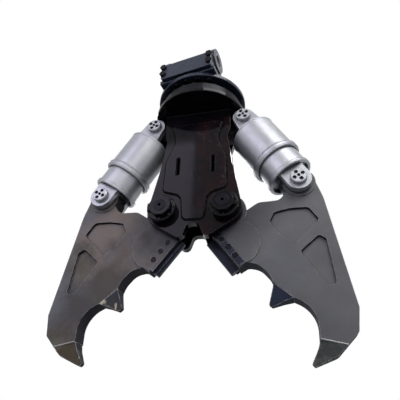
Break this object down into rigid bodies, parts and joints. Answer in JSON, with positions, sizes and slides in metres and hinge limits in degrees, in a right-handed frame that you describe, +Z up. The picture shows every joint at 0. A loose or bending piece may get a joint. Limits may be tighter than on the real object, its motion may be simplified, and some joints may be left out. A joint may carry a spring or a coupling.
{
  "type": "demolition shear",
  "caption": "Twin-cylinder demolition shear with a slewing top bracket, two curved jaws with shear blades and teeth, and a black frame between the plates.",
  "frame": {"origin": "centre of the stick pin bore, midway between the two ears of the bracket", "axes": "+Z up, the jaws hang down; +X to the right and +Y to the rear, so the jaws open in the XZ plane; the bracket is turned 10 degrees on its slewing ring at rest"},
  "size_m": [1.5196, 0.6457, 1.8903],
  "materials": {
    "frame_paint": "gloss",
    "jaw_paint": "satin",
    "silver_paint": "satin",
    "bracket_paint": "gloss",
    "tool_steel": "satin",
    "bare_steel": "satin",
    "chrome_rod": "polished",
    "bush_bronze": "satin",
    "cast_black": "matte"
  },
  "bodies": {
    "upper_bracket": {"bracket_right_ear": "bracket_paint", "bracket_left_ear": "bracket_paint", "bracket_bushes": "bare_steel", "bracket_base_plate": "bracket_paint", "bracket_front_plate": "bracket_paint", "front_plate_bolts": "frame_paint", "bracket_rear_bar": "bracket_paint", "bracket_cross_tube": "bracket_paint", "slew_disc": "bracket_paint", "base_plate_bolts": "frame_paint", "slew_adapter_drum": "frame_paint", "slew_inner_ring": "bare_steel", "inner_ring_screws": "bare_steel", "swivel_core": "bare_steel"},
    "shear_frame": {"frame_front_plate": "frame_paint", "frame_rear_plate": "frame_paint", "frame_doublers": "frame_paint", "frame_side_webs": "frame_paint", "frame_cross_webs": "frame_paint", "frame_cylinder_lugs": "frame_paint", "frame_top_flange": "frame_paint", "slew_outer_ring": "bare_steel", "outer_ring_bolts": "frame_paint", "slew_motor": "cast_black", "swivel_housing": "frame_paint", "main_pins": "bare_steel", "main_pin_collars": "frame_paint", "main_pin_nuts": "frame_paint", "nut_lock_plates": "frame_paint", "collar_bolts": "frame_paint", "upper_cylinder_pins": "bare_steel", "upper_pin_caps": "silver_paint", "upper_cap_screws": "bare_steel"},
    "motor_pinion": {"slew_pinion": "bare_steel"},
    "left_jaw": {"left_jaw_plate": "jaw_paint", "left_jaw_bushes": "bush_bronze", "left_shear_blade": "tool_steel", "left_blade_bolts": "bare_steel", "left_jaw_teeth": "tool_steel"},
    "left_barrel": {"left_cylinder_base": "silver_paint", "left_cylinder_tube": "silver_paint", "left_cylinder_shroud": "silver_paint", "left_cylinder_gland": "bare_steel"},
    "left_rod": {"left_piston_rod": "chrome_rod", "left_rod_guard": "silver_paint", "left_rod_fork": "silver_paint", "left_lower_pin": "silver_paint"},
    "right_jaw": {"right_jaw_plate": "jaw_paint", "right_jaw_bushes": "bush_bronze", "right_shear_blade": "tool_steel", "right_blade_bolts": "bare_steel", "right_jaw_teeth": "tool_steel"},
    "right_barrel": {"right_cylinder_base": "silver_paint", "right_cylinder_tube": "silver_paint", "right_cylinder_shroud": "silver_paint", "right_cylinder_gland": "bare_steel"},
    "right_rod": {"right_piston_rod": "chrome_rod", "right_rod_guard": "silver_paint", "right_rod_fork": "silver_paint", "right_lower_pin": "silver_paint"}
  },
  "joints": [
    {"name": "slew", "type": "hinge", "parent": "upper_bracket", "child": "shear_frame", "pos_m": [-0.0356, -0.20189, -0.294], "axis": [0, 0, 1], "continuous": true},
    {"name": "pinion_spin", "type": "hinge", "parent": "shear_frame", "child": "motor_pinion", "pos_m": [0.0694, -0.20189, -0.294], "axis": [0, 0, 1], "continuous": true},
    {"name": "right_jaw_fold", "type": "hinge", "parent": "shear_frame", "child": "right_jaw", "pos_m": [0.1344, -0.20189, -1.034], "axis": [0, 1, 0], "range_deg": [0, 36.5]},
    {"name": "right_barrel_swing", "type": "hinge", "parent": "shear_frame", "child": "right_barrel", "pos_m": [0.2484, -0.20189, -0.396], "axis": [0, 1, 0], "range_deg": [0, 8.4]},
    {"name": "right_rod_stroke", "type": "slide", "parent": "right_barrel", "child": "right_rod", "axis": [0.4986, 0, -0.8668], "range_m": [0, 0.249]},
    {"name": "left_jaw_fold", "type": "hinge", "parent": "shear_frame", "child": "left_jaw", "pos_m": [-0.2056, -0.20189, -1.034], "axis": [0, -1, 0], "range_deg": [0, 36.5]},
    {"name": "left_barrel_swing", "type": "hinge", "parent": "shear_frame", "child": "left_barrel", "pos_m": [-0.3196, -0.20189, -0.396], "axis": [0, -1, 0], "range_deg": [0, 8.4]},
    {"name": "left_rod_stroke", "type": "slide", "parent": "left_barrel", "child": "left_rod", "axis": [-0.4986, 0, -0.8668], "range_m": [0, 0.249]}
  ],
  "couplings": [
    {"joint": "pinion_spin", "follows": "slew", "ratio": -4.5},
    {"joint": "right_barrel_swing", "follows": "right_jaw_fold", "ratio": 0.228},
    {"joint": "right_rod_stroke", "follows": "right_jaw_fold", "m_per_rad": 0.39},
    {"joint": "left_barrel_swing", "follows": "left_jaw_fold", "ratio": 0.228},
    {"joint": "left_rod_stroke", "follows": "left_jaw_fold", "m_per_rad": 0.39}
  ]
}
